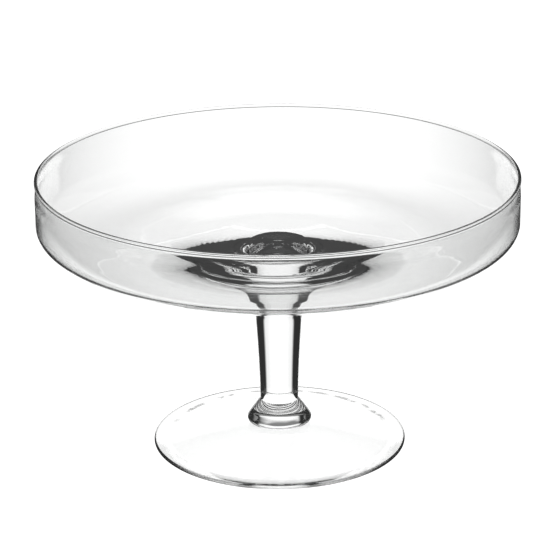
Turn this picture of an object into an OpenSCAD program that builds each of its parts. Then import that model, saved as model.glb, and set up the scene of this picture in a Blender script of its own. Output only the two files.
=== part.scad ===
// Footed glass dish: a shallow, thin-walled round bowl on a solid stem, with a collar and a disc foot.
// Five pieces of clear glass, each a solid of revolution about the Z axis, fused face to face.
// Millimetres, +Z up, origin at the centre of the plane that the foot stands on.

/* [Bowl] */
// Outside diameter of the bowl
bowl_d = 300; // [270:1:340]
// Height from the standing plane to the top of the rim
overall_h = 178; // [174:1:190]
// Thickness of the blown wall and floor
wall_t = 1.2; // [1:0.1:2]
// Thickness of the rounded rim
rim_t = 2.4; // [2.2:0.1:3]
// Radius of the turn from the upright wall into the floor
turn_r = 8.8; // [7:0.1:10]
// Radius of the thick middle of the floor, where the underside starts to fall towards the stem
middle_r = 67; // [60:1:72]
// Rise of the floor's thick middle above the floor around it
middle_rise = 2.4; // [1.8:0.2:5]

/* [Stem] */
// Radius of the stem at its narrow lower end
stem_foot_r = 12; // [10:0.1:12.5]
// Radius of the stem's shaft where its head starts
shaft_top_r = 14.4; // [13:0.1:15]
// Radius of the stem's head, where the button is fused on
stem_head_r = 16.4; // [16:0.1:17]
// Largest radius of the button that joins the stem to the bowl
button_r = 29; // [27:0.5:32]

/* [Foot] */
// Outside diameter of the foot
foot_d = 160; // [140:1:180]
// Thickness of the foot at its rounded edge
foot_edge_t = 2.6; // [2.2:0.1:4]
// Height of the foot's crown, under the collar
foot_crown_h = 13; // [11:0.5:15]
// Width of the flat ring that the foot stands on
foot_ring_w = 10; // [6:0.5:14]
// Largest radius of the collar
collar_r = 20.3; // [18:0.1:22]

/* [Quality] */
// Number of straight steps in each curved stretch of a profile
steps = 20; // [12:1:28]

/* [Hidden] */
$fn = 180;

glass = [0.93, 0.96, 0.96, 0.4];
bowl_r = bowl_d / 2;
foot_r = foot_d / 2;

// Heights of the faces where one piece is fused to the next
collar_base_z = foot_crown_h;
stem_base_z = 28;
shaft_top_z = 82;
stem_top_z = 88;
bowl_base_z = 122;

// Height of the bowl's underside around its thick middle
underside_z = 131.5;

// A point on a cubic curve, and the whole curve as a list of points
function curve_point(a, b, c, d, t) =
    pow(1 - t, 3) * a + 3 * pow(1 - t, 2) * t * b + 3 * (1 - t) * t * t * c + pow(t, 3) * d;
function curve(a, b, c, d) = [for (i = [0:steps]) curve_point(a, b, c, d, i / steps)];

// Points on an arc about a centre, from one angle to another
function arc(centre, r, from, to) =
    [for (i = [0:steps]) let (angle = from + (to - from) * i / steps) centre + r * [cos(angle), sin(angle)]];

// The direction of a path at one of its points, and the path moved to its left by a distance
function direction(path, i) =
    let (step = path[min(i + 1, len(path) - 1)] - path[max(i - 1, 0)]) step / norm(step);
function beside(path, t) =
    [for (i = [0:len(path) - 1]) let (d = direction(path, i)) path[i] + t * [-d[1], d[0]]];

function backwards(path) = [for (i = [len(path) - 1:-1:0]) path[i]];

module turned(points) {
    rotate_extrude() polygon(points);
}

// Thin-walled bowl with a rounded rim. Its floor is thick only in the middle, over the stem.
module bowl() {
    // Underside of the thick middle, then the shell: flat floor, turn and upright wall
    middle = curve([button_r, bowl_base_z], [button_r + 7, bowl_base_z + 4.5],
                   [middle_r - 19.5, underside_z - 1.8], [middle_r, underside_z]);
    turn_angle = 50;
    turn_centre = [bowl_r - turn_r, overall_h - 28.4];
    turn = arc(turn_centre, turn_r, -turn_angle, 0);
    floor_end = [bowl_r - 46, underside_z];
    rise = 17 * [cos(90 - turn_angle), sin(90 - turn_angle)];
    floor = curve(floor_end, floor_end + [17, 0], turn[0] - rise, turn[0]);
    wall_top = [bowl_r, overall_h - 8];
    shell = concat([for (i = [0:steps - 1]) floor[i]], turn, [wall_top]);

    // The rim is thicker than the wall and swells inwards.
    rim_z = overall_h - rim_t / 2;
    rim = arc([bowl_r - rim_t / 2, rim_z], rim_t / 2, 0, 180);
    inner_wall = wall_top - [wall_t, 0];
    swell = curve([bowl_r - rim_t, rim_z], [bowl_r - rim_t, rim_z - 3],
                  [inner_wall[0], rim_z - 4], inner_wall);
    lining = backwards(beside(shell, wall_t));
    crown_r = 38;
    crown_z = underside_z + wall_t + middle_rise;
    crown = curve(lining[len(lining) - 1], [80, underside_z + wall_t],
                  [crown_r + 20, crown_z], [crown_r, crown_z]);
    dome = curve([crown_r, crown_z], [26, crown_z], [14, crown_z + 0.5], [0, crown_z + 0.5]);
    color(glass) turned(concat([[0, bowl_base_z]], middle, shell, rim,
                               [for (i = [1:steps - 1]) swell[i]], lining,
                               [for (i = [1:steps]) crown[i]],
                               [for (i = [1:steps]) dome[i]]));
}

// Round button of glass between the stem's head and the bowl: a slight bulge, a waist, then a flare
module bowl_button() {
    waist = [19, 105];
    bulge = curve([stem_head_r, stem_top_z], [stem_head_r + 2.4, stem_top_z + 4.5], [18.3, 99], waist);
    flare = curve(waist, waist + [1, 6.5], [button_r - 7, bowl_base_z - 4.5], [button_r, bowl_base_z]);
    color(glass) turned(concat([[0, stem_top_z]], bulge, [for (i = [1:steps]) flare[i]],
                               [[0, bowl_base_z]]));
}

// Solid stem: it widens slowly upwards, and faster at its head
module stem() {
    shaft_top = [shaft_top_r, shaft_top_z];
    shaft = curve([stem_foot_r, stem_base_z], [stem_foot_r + 0.3, stem_base_z + 22],
                  shaft_top - [0.9, 14], shaft_top);
    head = curve(shaft_top, shaft_top + [0.2, 2.3], [stem_head_r - 1.1, stem_top_z - 2.1],
                 [stem_head_r, stem_top_z]);
    color(glass) turned(concat([[0, stem_base_z]], shaft, [for (i = [1:steps]) head[i]],
                               [[0, stem_top_z]]));
}

// Flared collar between the stem and the foot, with a round lip
module foot_collar() {
    lip_r = 2.4;
    lip = arc([collar_r - lip_r, collar_base_z + lip_r], lip_r, -90, 35);
    side = curve(lip[steps], lip[steps] + [-1.8, 2.6], [stem_foot_r + 2.3, stem_base_z - 3.4],
                 [stem_foot_r, stem_base_z]);
    color(glass) turned(concat([[0, collar_base_z]], lip, [for (i = [1:steps]) side[i]],
                               [[0, stem_base_z]]));
}

// Shallow cone of glass with a round edge. It stands on a flat ring, and is hollow inside the ring.
module foot() {
    edge_r = foot_edge_t / 2;
    ring_r = foot_r - foot_ring_w;
    under_z = foot_crown_h - 3;
    under = curve([0, under_z], [ring_r * 0.36, under_z], [ring_r * 0.7, 3.2], [ring_r, 0]);
    edge = arc([foot_r - edge_r, edge_r], edge_r, -90, 90);
    top = curve([foot_r - edge_r, foot_edge_t], [foot_r * 0.78, foot_edge_t + 2.3],
                [foot_r * 0.5, foot_crown_h - 3], [collar_r - 2.4, foot_crown_h]);
    color(glass) turned(concat(under, edge, [for (i = [1:steps]) top[i]], [[0, foot_crown_h]]));
}

bowl();
bowl_button();
stem();
foot_collar();
foot();
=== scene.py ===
import math

import bmesh
import bpy
from mathutils import Matrix, Vector, noise


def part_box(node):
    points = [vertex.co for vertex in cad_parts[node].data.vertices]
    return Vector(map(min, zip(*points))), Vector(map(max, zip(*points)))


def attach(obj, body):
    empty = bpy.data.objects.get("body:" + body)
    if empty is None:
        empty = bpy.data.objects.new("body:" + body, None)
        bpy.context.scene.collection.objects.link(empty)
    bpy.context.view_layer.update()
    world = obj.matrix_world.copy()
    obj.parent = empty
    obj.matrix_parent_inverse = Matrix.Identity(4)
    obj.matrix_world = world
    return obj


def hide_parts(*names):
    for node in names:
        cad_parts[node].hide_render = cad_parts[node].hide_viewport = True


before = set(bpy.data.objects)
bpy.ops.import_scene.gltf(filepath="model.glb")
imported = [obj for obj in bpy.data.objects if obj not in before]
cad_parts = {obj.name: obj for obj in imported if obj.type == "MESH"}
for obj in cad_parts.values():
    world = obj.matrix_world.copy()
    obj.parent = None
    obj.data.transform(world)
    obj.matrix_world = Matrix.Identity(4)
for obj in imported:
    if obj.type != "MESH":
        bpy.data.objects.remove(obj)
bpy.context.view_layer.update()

MM = 0.001
# Straight steps round each piece
SEGMENTS = 288

# Sizes and the heights of the fused faces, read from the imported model, in millimetres
RIM_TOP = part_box("bowl")[1][2] / MM
BOWL_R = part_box("bowl")[1][1] / MM
BOWL_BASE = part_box("bowl")[0][2] / MM
BUTTON_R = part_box("bowl_button")[1][1] / MM
STEM_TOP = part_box("stem")[1][2] / MM
STEM_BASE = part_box("stem")[0][2] / MM
STEM_HEAD_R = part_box("stem")[1][1] / MM
COLLAR_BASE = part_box("foot_collar")[0][2] / MM
COLLAR_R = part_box("foot_collar")[1][1] / MM
FOOT_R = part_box("foot")[1][1] / MM

# The bowl: its underside around the thick middle, wall, rim, turn from wall to floor, and thick middle
UNDERSIDE = BOWL_BASE + 9.5
WALL_T = 1.2
RIM_T = 2.4
TURN_R = 8.8
TURN_BELOW_RIM = 28.4
FLAT_FLOOR_R = BOWL_R - 46
MIDDLE_R = 67.0
MIDDLE_RISE = 2.4
CROWN_R = 38
DOME_RISE = 0.5

# The stem, collar and foot
SHAFT_TOP = STEM_TOP - 6
SHAFT_TOP_R = 14.4
STEM_FOOT_R = 12.0
LIP_R = 2.4
FOOT_EDGE_R = 1.3
FOOT_RING_W = 10
FOOT_CENTRE_T = 3
# Only faces lower than this get the abraded glass, greyed there with painted shade
ABRADED_SHADED_BELOW = 1.2

# Brightness of the white card and floor, of the dim card above it, and of the dark room
WHITE, DIM, DARK = 1.16, 0.30, 0.045
# The white card in metres: half its width, half the width of its soft side edges, its reach below and
# above the view's centre, and its distance behind the dish
CARD_HALF_W, CARD_SOFT, CARD_BELOW, CARD_ABOVE, CARD_BEHIND = 0.222, 0.035, 0.26, 0.355, 0.42
# The height over which its top dims, half the width of its brightest middle, and its level at the sides
CARD_TOP_SOFT, CARD_BRIGHT_HALF_W, CARD_SIDE_LEVEL = 0.075, 0.07, 0.86
# The dim card in metres: half its width, where it starts to darken towards its sides, and its top
DIM_HALF_W, DIM_FADE, DIM_TOP = 0.5, 0.34, 1.6
# How far below the foot the floor and the bit of white table lie, in metres
FLOOR_DROP, TABLE_DROP = 0.0005, 0.0004
TABLE_PATCH_R = 0.021
VIEW_CENTRE_Z = 0.1
BOUNCES = 32
# The camera: its place in metres, its lens in millimetres, how far it looks down, and its roll in degrees
CAMERA_PLACE, LENS, LOOK_DOWN, ROLL = (0.001, -1.5765, 0.694), 172.7, 20.41, -0.45


# ---------------------------------------------------------------- outlines

def curve(a, b, c, d, steps):
    """Points on a cubic curve, without its first one."""
    points = []
    for i in range(1, steps + 1):
        t = i / steps
        weights = ((1 - t) ** 3, 3 * (1 - t) ** 2 * t, 3 * (1 - t) * t * t, t**3)
        points.append(tuple(sum(w * p[j] for w, p in zip(weights, (a, b, c, d))) for j in (0, 1)))
    return points


def arc(centre, r, start, stop, steps):
    """Points on an arc from angle start to angle stop, in degrees, without its first one."""
    angles = [math.radians(start + (stop - start) * i / steps) for i in range(1, steps + 1)]
    return [(centre[0] + r * math.cos(a), centre[1] + r * math.sin(a)) for a in angles]


def beside(path, distance):
    """The path moved to its left by a distance."""
    moved = []
    for i, (r, z) in enumerate(path):
        before, after = path[max(i - 1, 0)], path[min(i + 1, len(path) - 1)]
        dr, dz = after[0] - before[0], after[1] - before[1]
        length = math.hypot(dr, dz)
        moved.append((r - dz / length * distance, z + dr / length * distance))
    return moved


# ---------------------------------------------------------------- hand-made unevenness

def bump(x, centre, width):
    """A smooth hump, 1 high at its centre."""
    return math.exp(-(((x - centre) / width) ** 2))


def tooled(r, z, angle):
    """How far the maker's tools and breath move a point of the surface, outwards and upwards, in mm."""
    x, y = r * math.cos(angle), r * math.sin(angle)
    out, up = 0.0, 0.0
    # Rings that the jacks leave where the bowl is opened out over the stem, deeper here and there
    over_stem = bump(r, BUTTON_R + 5, 16) * bump(z, BOWL_BASE + 2, 9)
    over_stem *= 0.6 + noise.noise(Vector((x / 26, y / 26, 3.1)))
    up += 0.05 * over_stem * math.sin(2 * math.pi * (r + 0.6 * math.sin(angle - 0.6)) / 3.4)
    # Slow waves of blown glass on the bowl's floor
    floor = bump(z, UNDERSIDE + 1.5, 7) * (1 - bump(r, 0, 12)) * (r < BOWL_R - 32)
    up += 0.06 * floor * noise.noise(Vector((x / 24, y / 24, z / 30)))
    up += 0.006 * floor * noise.noise(Vector((x / 5, y / 5, z / 9 + 7)))
    # The collar was pressed on a little askew, and its lip is uneven
    out += 0.12 * bump(z, COLLAR_BASE + 9, 3) * math.sin(angle + 0.7) * (r < COLLAR_R - 1)
    lip = bump(z, COLLAR_BASE + 3.5, 1.6) * (STEM_FOOT_R + 2 < r < COLLAR_R + 1)
    out += 0.22 * lip * (noise.noise(Vector((x / 7, y / 7, z / 6 + 2))) - 0.6)
    return out, up


def seeds():
    """Centres and radii of the small air bubbles caught over the stem, in millimetres."""
    # Angle from the front in degrees, distance from the axis, height above the button, and radius
    bubbles = ((-64, 13.5, 7.2, 0.40), (-47, 14.0, 7.0, 0.55), (-38, 13.2, 7.3, 0.35),
               (-4, 14.2, 6.8, 0.60), (3, 13.4, 7.0, 0.50), (37, 13.8, 7.1, 0.50),
               (58, 14.4, 7.5, 0.60), (71, 13.9, 6.6, 0.40), (-118, 11.0, 5.9, 0.45))
    found = []
    for degrees, distance, up, r in bubbles:
        angle = math.radians(degrees - 90)
        centre = Vector((distance * math.cos(angle), distance * math.sin(angle), BOWL_BASE + up))
        found.append((centre, r))
    return found


# ---------------------------------------------------------------- mesh

def lathe(name, profile, joints, materials, bubbles=(), abraded_shaded_from=None):
    """Turns a closed profile about Z. joints are the heights of the flat faces fused to a neighbour.

    bubbles are hollows inside the piece, and the last argument is the radius from which its lowest faces
    are abraded and greyed with painted shade. The materials are those of the surface, of the fused faces,
    and of the abraded faces with painted shade if there are any.
    """
    bm = bmesh.new()
    turn = [2 * math.pi * i / SEGMENTS for i in range(SEGMENTS)]
    rings = []
    for r, z in profile:
        if r < 1e-6:
            rings.append([bm.verts.new((0, 0, z * MM))])
            continue
        ring = []
        for angle in turn:
            out, up = tooled(r, z, angle)
            across = (r + out) * MM
            ring.append(bm.verts.new((across * math.cos(angle), across * math.sin(angle), (z + up) * MM)))
        rings.append(ring)
    for k, (low, high) in enumerate(zip(rings, rings[1:])):
        heights = (profile[k][1], profile[k + 1][1])
        fused = any(max(abs(z - joint) for z in heights) < 1e-4 for joint in joints)
        for i in range(SEGMENTS):
            j = (i + 1) % SEGMENTS
            corners = [low[i % len(low)], low[j % len(low)], high[j % len(high)], high[i % len(high)]]
            face = bm.faces.new(dict.fromkeys(corners))
            face.smooth = True
            face.material_index = int(fused)
            # The lowest outer faces get the third material: abraded glass greyed with painted shade
            if abraded_shaded_from and max(heights) < ABRADED_SHADED_BELOW and profile[k][0] >= abraded_shaded_from:
                face.material_index = 2
    bmesh.ops.recalc_face_normals(bm, faces=bm.faces)
    for edge in bm.edges:
        edge.smooth = 1 not in {face.material_index for face in edge.link_faces}
    for centre, r in bubbles:
        place = Matrix.Translation(centre * MM)
        shell = bmesh.ops.create_icosphere(bm, subdivisions=2, radius=r * MM, matrix=place)
        hollow = {face for vert in shell["verts"] for face in vert.link_faces}
        for face in hollow:
            face.smooth = True
        bmesh.ops.reverse_faces(bm, faces=list(hollow))
    mesh = bpy.data.meshes.new(name)
    bm.to_mesh(mesh)
    bm.free()
    for material in materials:
        mesh.materials.append(material)
    piece = bpy.data.objects.new(name, mesh)
    bpy.context.scene.collection.objects.link(piece)
    return piece


# ---------------------------------------------------------------- materials

def new_material(name):
    """A material with no nodes yet, its nodes and its links."""
    material = bpy.data.materials.new(name)
    material.use_nodes = True
    material.node_tree.nodes.clear()
    return material, material.node_tree.nodes, material.node_tree.links


def smooth_step(nodes, links, value, between, levels):
    """A smooth change from one level to another while the value passes between two marks."""
    step = nodes.new("ShaderNodeMapRange")
    step.interpolation_type = "SMOOTHSTEP"
    step.inputs["From Min"].default_value, step.inputs["From Max"].default_value = between
    step.inputs["To Min"].default_value, step.inputs["To Max"].default_value = levels
    links.new(value, step.inputs["Value"])
    return step.outputs["Result"]


def combine(nodes, links, operation, first, second):
    """The result of a Math node on two sockets."""
    maths = nodes.new("ShaderNodeMath")
    maths.operation = operation
    links.new(first, maths.inputs[0])
    links.new(second, maths.inputs[1])
    return maths.outputs[0]


def noise_texture(nodes, links, place, size, detail=2.0):
    """Noise with features of about the given size, in metres."""
    texture = nodes.new("ShaderNodeTexNoise")
    texture.inputs["Scale"].default_value = 1 / size
    texture.inputs["Detail"].default_value = detail
    links.new(place.outputs["Object"], texture.inputs["Vector"])
    return texture.outputs["Fac"]


def abrasion_and_painted_shade(nodes, links, place):
    """How abraded the underside of the foot is, and how grey with painted shade, from 0 to 1. The marks
    between are radii in metres.
    """
    distance = nodes.new("ShaderNodeVectorMath")
    distance.operation = "LENGTH"
    links.new(place.outputs["Object"], distance.inputs[0])
    radius = distance.outputs["Value"]
    split = nodes.new("ShaderNodeSeparateXYZ")
    links.new(place.outputs["Object"], split.inputs[0])

    # Patches along the inner edge of the standing ring, mostly on its far side: abrasion, and painted shade
    # where they grey the glass
    inside = smooth_step(nodes, links, radius, (0.0655, 0.0690), (0.0, 1.0))
    outside = smooth_step(nodes, links, radius, (0.0705, 0.0730), (1.0, 0.1))
    side = smooth_step(nodes, links, split.outputs["Y"], (0.01, 0.035), (0.1, 1.0))
    cloudy = noise_texture(nodes, links, place, 0.012, 6)
    abrasion_and_shade = smooth_step(nodes, links, cloudy, (0.44, 0.58), (0.0, 1.0))
    for factor in (inside, outside, side):
        abrasion_and_shade = combine(nodes, links, "MULTIPLY", abrasion_and_shade, factor)

    # The foot's edge is abraded all the way round, and greyed with painted shade
    abraded_shaded_edge = smooth_step(nodes, links, radius, (0.0775, 0.0790), (0.0, 0.45))
    return combine(nodes, links, "MAXIMUM", abrasion_and_shade, abraded_shaded_edge)


def glass_material(name="clear_glass", abraded_and_shaded=False):
    """Clear soda glass, fire-polished: slow waves, a fine orange peel, and faint smears from handling.

    With its second argument set, the glass is abraded dull, and greyed with painted shade, along the foot's
    edge and in patches along the inner edge of its standing ring, mostly on one side.
    """
    material, nodes, links = new_material(name)
    shader = nodes.new("ShaderNodeBsdfPrincipled")
    shader.inputs["IOR"].default_value = 1.5
    shader.inputs["Transmission Weight"].default_value = 1.0
    place = nodes.new("ShaderNodeTexCoord")

    # The metal of the glass varies a trace in tint from streak to streak
    streaks = noise_texture(nodes, links, place, 0.045, 3)
    tint = nodes.new("ShaderNodeMix")
    tint.data_type = "RGBA"
    tint.inputs["A"].default_value = (0.985, 0.992, 0.988, 1)
    tint.inputs["B"].default_value = (1, 1, 1, 1)
    links.new(streaks, tint.inputs["Factor"])
    links.new(tint.outputs["Result"], shader.inputs["Base Color"])

    waves = nodes.new("ShaderNodeBump")
    waves.inputs["Strength"].default_value = 0.5
    waves.inputs["Distance"].default_value = 0.00006
    links.new(noise_texture(nodes, links, place, 0.018, 1), waves.inputs["Height"])
    peel = nodes.new("ShaderNodeBump")
    peel.inputs["Strength"].default_value = 0.5
    peel.inputs["Distance"].default_value = 0.000006
    links.new(noise_texture(nodes, links, place, 0.004, 2), peel.inputs["Height"])
    links.new(waves.outputs["Normal"], peel.inputs["Normal"])
    links.new(peel.outputs["Normal"], shader.inputs["Normal"])

    smears = noise_texture(nodes, links, place, 0.03, 5)
    dull = smooth_step(nodes, links, smears, (0.55, 0.75), (0.0, 0.02))
    if abraded_and_shaded:
        abrasion_and_shade = abrasion_and_painted_shade(nodes, links, place)
        dull = smooth_step(nodes, links, abrasion_and_shade, (0.0, 1.0), (0.01, 0.45))
        # Painted shade: a grey mixed into the glass's colour on the abraded places
        painted_shade_grey = nodes.new("ShaderNodeMix")
        painted_shade_grey.data_type = "RGBA"
        painted_shade_grey.inputs["B"].default_value = (0.25, 0.25, 0.245, 1)
        links.new(abrasion_and_shade, painted_shade_grey.inputs["Factor"])
        links.new(tint.outputs["Result"], painted_shade_grey.inputs["A"])
        links.new(painted_shade_grey.outputs["Result"], shader.inputs["Base Color"])
    links.new(dull, shader.inputs["Roughness"])
    out = nodes.new("ShaderNodeOutputMaterial")
    links.new(shader.outputs[0], out.inputs["Surface"])
    return material


def joint_material():
    """Inside the fused joints the glass is one: light passes straight through."""
    material, nodes, links = new_material("fused_joint")
    clear = nodes.new("ShaderNodeBsdfTransparent")
    out = nodes.new("ShaderNodeOutputMaterial")
    links.new(clear.outputs[0], out.inputs["Surface"])
    return material


def emissive(name, value, fade=None, top=None):
    """A lit card. fade gives the distances from its middle line between which it darkens towards its sides.

    top gives the heights between which it dims to DIM. A card with a top is also brightest in its middle.
    """
    material, nodes, links = new_material(name)
    light = nodes.new("ShaderNodeEmission")
    light.inputs["Color"].default_value = (1, 1, 1, 1)
    light.inputs["Strength"].default_value = value
    if fade:
        place = nodes.new("ShaderNodeTexCoord")
        split = nodes.new("ShaderNodeSeparateXYZ")
        aside = nodes.new("ShaderNodeMath")
        aside.operation = "ABSOLUTE"
        links.new(place.outputs["Object"], split.inputs[0])
        links.new(split.outputs["X"], aside.inputs[0])
        sideways = smooth_step(nodes, links, aside.outputs[0], fade, (value, DARK))
        if top:
            upwards = smooth_step(nodes, links, split.outputs["Y"], top, (value, DIM))
            centre = smooth_step(nodes, links, aside.outputs[0], (CARD_BRIGHT_HALF_W, fade[0]),
                                 (1.0, CARD_SIDE_LEVEL))
            links.new(combine(nodes, links, "MULTIPLY", upwards, centre), sideways.node.inputs["To Min"])
        links.new(sideways, light.inputs["Strength"])
    out = nodes.new("ShaderNodeOutputMaterial")
    links.new(light.outputs[0], out.inputs["Surface"])
    return material


# ---------------------------------------------------------------- the five pieces

def bowl(materials):
    """Underside of the thick middle, then the shell: flat floor, turn and upright wall, rim, and lining."""
    middle_start = (BUTTON_R, BOWL_BASE)
    middle = curve(middle_start, (BUTTON_R + 7, BOWL_BASE + 4.5), (MIDDLE_R - 19.5, UNDERSIDE - 1.8),
                   (MIDDLE_R, UNDERSIDE), 60)
    turn_angle, reach = 50, 17
    centre = (BOWL_R - TURN_R, RIM_TOP - TURN_BELOW_RIM)
    turn_start = arc(centre, TURN_R, 0, -turn_angle, 1)[0]
    floor_end = (FLAT_FLOOR_R, UNDERSIDE)
    lean = math.radians(90 - turn_angle)
    approach = (turn_start[0] - reach * math.cos(lean), turn_start[1] - reach * math.sin(lean))
    floor = [floor_end, *curve(floor_end, (FLAT_FLOOR_R + reach, UNDERSIDE), approach, turn_start, 48)]
    turn = arc(centre, TURN_R, -turn_angle, 0, 20)
    wall = [(BOWL_R, RIM_TOP - h) for h in (24, 20, 16, 12)]
    shell = floor + turn + wall
    lining = beside(shell, WALL_T)[::-1]

    # Fire-polished rim: a bead with a slight waist under it on both sides
    bead = RIM_T / 2
    waist_r = BOWL_R - 0.55
    waist = curve(shell[-1], (BOWL_R, RIM_TOP - 9), (waist_r, RIM_TOP - 6), (waist_r, RIM_TOP - 3.4), 10)
    rim = arc((BOWL_R - bead, RIM_TOP - bead), bead, -60, 240, 32)
    swell = curve(rim[-1], (BOWL_R - RIM_T + 0.6, RIM_TOP - 3.6), (BOWL_R - WALL_T - 0.3, RIM_TOP - 7),
                  lining[0], 10)

    crown_z = UNDERSIDE + WALL_T + MIDDLE_RISE
    dome_z = crown_z + DOME_RISE
    crown = curve(lining[-1], (80, UNDERSIDE + WALL_T), (CROWN_R + 20, crown_z), (CROWN_R, crown_z), 48)
    dome = curve(crown[-1], (26, crown_z), (14, dome_z), (0, dome_z), 28)
    profile = [(0, BOWL_BASE), middle_start, *middle, *shell, *waist, *rim, *swell, *lining[1:],
               *crown, *dome]
    return lathe("bowl_glass", profile, [BOWL_BASE], materials, bubbles=seeds())


def button(materials):
    """A slight bulge on the stem's head, a waist, then a flare under the bowl."""
    waist = (19.0, BOWL_BASE - 17)
    start = (STEM_HEAD_R, STEM_TOP)
    bulge = curve(start, (STEM_HEAD_R + 2.4, STEM_TOP + 4.5), (18.3, BOWL_BASE - 23), waist, 30)
    flare = curve(waist, (waist[0] + 1, waist[1] + 6.5), (BUTTON_R - 7, BOWL_BASE - 4.5),
                  (BUTTON_R, BOWL_BASE), 44)
    profile = [(0, STEM_TOP), start, *bulge, *flare, (0, BOWL_BASE)]
    return lathe("button_glass", profile, [STEM_TOP, BOWL_BASE], materials)


def stem(materials):
    """It widens slowly upwards, and faster at its head."""
    base, shaft_top = (STEM_FOOT_R, STEM_BASE), (SHAFT_TOP_R, SHAFT_TOP)
    shaft = curve(base, (STEM_FOOT_R + 0.3, STEM_BASE + 22), (SHAFT_TOP_R - 0.9, SHAFT_TOP - 14),
                  shaft_top, 56)
    head = curve(shaft_top, (SHAFT_TOP_R + 0.2, SHAFT_TOP + 2.3), (STEM_HEAD_R - 1.1, STEM_TOP - 2.1),
                 (STEM_HEAD_R, STEM_TOP), 12)
    profile = [(0, STEM_BASE), base, *shaft, *head, (0, STEM_TOP)]
    return lathe("stem_glass", profile, [STEM_BASE, STEM_TOP], materials)


def collar(materials):
    """A round lip on the foot, and a flared side up to the stem."""
    centre = (COLLAR_R - LIP_R, COLLAR_BASE + LIP_R)
    lip = arc(centre, LIP_R, -90, 35, 20)
    side = curve(lip[-1], (lip[-1][0] - 1.8, lip[-1][1] + 2.6), (STEM_FOOT_R + 2.3, STEM_BASE - 3.4),
                 (STEM_FOOT_R, STEM_BASE), 60)
    profile = [(0, COLLAR_BASE), (centre[0], COLLAR_BASE), *lip, *side, (0, STEM_BASE)]
    return lathe("collar_glass", profile, [COLLAR_BASE, STEM_BASE], materials)


def foot(materials):
    """A shallow cone with a round edge. It stands on a flat ring, and is hollow inside the ring."""
    ring_r, under = FOOT_R - FOOT_RING_W, COLLAR_BASE - FOOT_CENTRE_T
    hollow = curve((0, under), (ring_r * 0.36, under), (ring_r * 0.7, 3.2), (ring_r, 0), 72)
    edge = arc((FOOT_R - FOOT_EDGE_R, FOOT_EDGE_R), FOOT_EDGE_R, -90, 90, 20)
    seat = COLLAR_R - LIP_R
    top = curve(edge[-1], (FOOT_R * 0.78, 2 * FOOT_EDGE_R + 2.3), (FOOT_R * 0.5, COLLAR_BASE - 3),
                (seat, COLLAR_BASE), 72)
    profile = [(0, under), *hollow, (FOOT_R - FOOT_EDGE_R, 0), *edge, *top, (0, COLLAR_BASE)]
    # The third material is abraded glass, greyed with painted shade
    foot_materials = [*materials, glass_material("abraded_glass_painted_shade", True)]
    return lathe("foot_glass", profile, [COLLAR_BASE], foot_materials, abraded_shaded_from=ring_r - 5)


glass = [glass_material(), joint_material()]
BUILDERS = {"bowl": bowl, "bowl_button": button, "stem": stem, "foot_collar": collar, "foot": foot}
for node, build in BUILDERS.items():
    piece = build(glass)
    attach(piece, "root")
    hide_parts(node)


# ---------------------------------------------------------------- camera and studio

def add_camera():
    """The photographed view: from the front, 20 degrees down, with a slight roll."""
    data = bpy.data.cameras.new("camera")
    data.sensor_width = 36
    data.lens = LENS
    camera = bpy.data.objects.new("camera", data)
    bpy.context.scene.collection.objects.link(camera)
    camera.location = CAMERA_PLACE
    tilt = Matrix.Rotation(math.radians(90 - LOOK_DOWN), 3, "X")
    roll = Matrix.Rotation(math.radians(ROLL), 3, "Z")
    camera.rotation_euler = (tilt @ roll).to_euler()
    bpy.context.scene.camera = camera
    return camera


def add_card(name, corners, material, parent=None):
    """A flat card through its corners, part of the studio."""
    mesh = bpy.data.meshes.new(name)
    mesh.from_pydata(corners, [], [tuple(range(len(corners)))])
    mesh.materials.append(material)
    card = bpy.data.objects.new(name, mesh)
    bpy.context.scene.collection.objects.link(card)
    card.parent = parent
    return card


def upright(half_width, low, high, behind):
    """Corners of a card that stands behind the dish, square to the camera."""
    return [(-half_width, low, -behind), (half_width, low, -behind),
            (half_width, high, -behind), (-half_width, high, -behind)]


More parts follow.
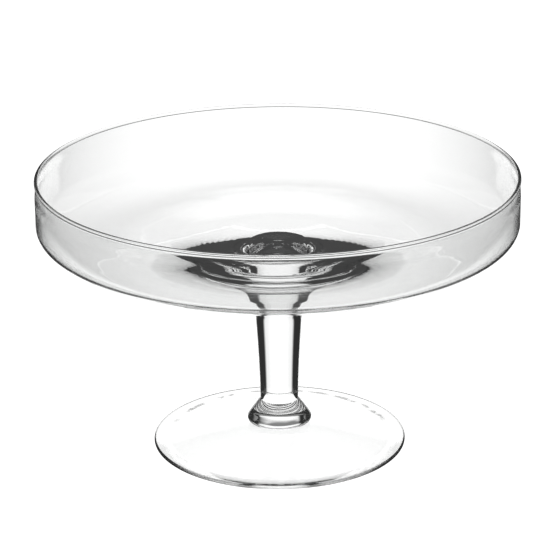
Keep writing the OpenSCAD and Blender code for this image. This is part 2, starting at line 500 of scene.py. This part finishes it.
def add_studio(camera):
    """Bright-field lighting: a white card close behind the dish and a dark room round it.

    The cards stand on a turntable that turns with the camera, so the dish is lit alike from every side.
    The camera sees the white floor and surroundings. What it sees through the glass is the cards, the
    patch of table and the dark room.
    """
    scene = bpy.context.scene
    turntable = bpy.data.objects.new("turntable", None)
    scene.collection.objects.link(turntable)
    turntable.location = (0, 0, VIEW_CENTRE_Z)
    follow = turntable.constraints.new("COPY_ROTATION")
    follow.target = camera

    inner, outer = CARD_HALF_W - CARD_SOFT, CARD_HALF_W + CARD_SOFT
    white = emissive("backdrop_white", WHITE, (inner, outer), (CARD_ABOVE - CARD_TOP_SOFT, CARD_ABOVE))
    card = add_card("backdrop", upright(outer, -CARD_BELOW, CARD_ABOVE, CARD_BEHIND), white, turntable)
    card.visible_camera = False
    grey = emissive("card_grey", DIM, (DIM_FADE, DIM_HALF_W))
    dim = add_card("dim_card", upright(DIM_HALF_W, CARD_ABOVE, DIM_TOP, CARD_BEHIND), grey, turntable)
    dim.visible_camera = False
    reach = 6.0
    corners = [(-reach, -reach, 0), (reach, -reach, 0), (reach, reach, 0), (-reach, reach, 0)]
    floor = add_card("floor", corners, emissive("floor_white", WHITE))
    floor.location.z = -FLOOR_DROP
    floor.visible_transmission = False
    floor.visible_glossy = False
    # The bit of white table that is seen down through the collar
    around = [2 * math.pi * i / 96 for i in range(96)]
    disc = [(TABLE_PATCH_R * math.cos(a), TABLE_PATCH_R * math.sin(a), 0) for a in around]
    patch = add_card("table_under_foot", disc, emissive("table_white", WHITE))
    patch.location.z = -TABLE_DROP
    patch.visible_camera = False

    world = bpy.data.worlds.new("studio")
    scene.world = world
    world.use_nodes = True
    nodes, links = world.node_tree.nodes, world.node_tree.links
    nodes.clear()
    path = nodes.new("ShaderNodeLightPath")
    mix = nodes.new("ShaderNodeMix")
    mix.data_type = "RGBA"
    mix.inputs["A"].default_value = (DARK, DARK, DARK, 1)
    mix.inputs["B"].default_value = (WHITE, WHITE, WHITE, 1)
    background = nodes.new("ShaderNodeBackground")
    out = nodes.new("ShaderNodeOutputWorld")
    links.new(path.outputs["Is Camera Ray"], mix.inputs["Factor"])
    links.new(mix.outputs["Result"], background.inputs["Color"])
    links.new(background.outputs[0], out.inputs["Surface"])


camera = add_camera()
add_studio(camera)

scene = bpy.context.scene
scene.view_settings.view_transform = "Standard"
scene.view_settings.gamma = 0.85
for limit in ("max_bounces", "transmission_bounces", "glossy_bounces", "transparent_max_bounces"):
    setattr(scene.cycles, limit, BOUNCES)
scene.cycles.use_denoising = True
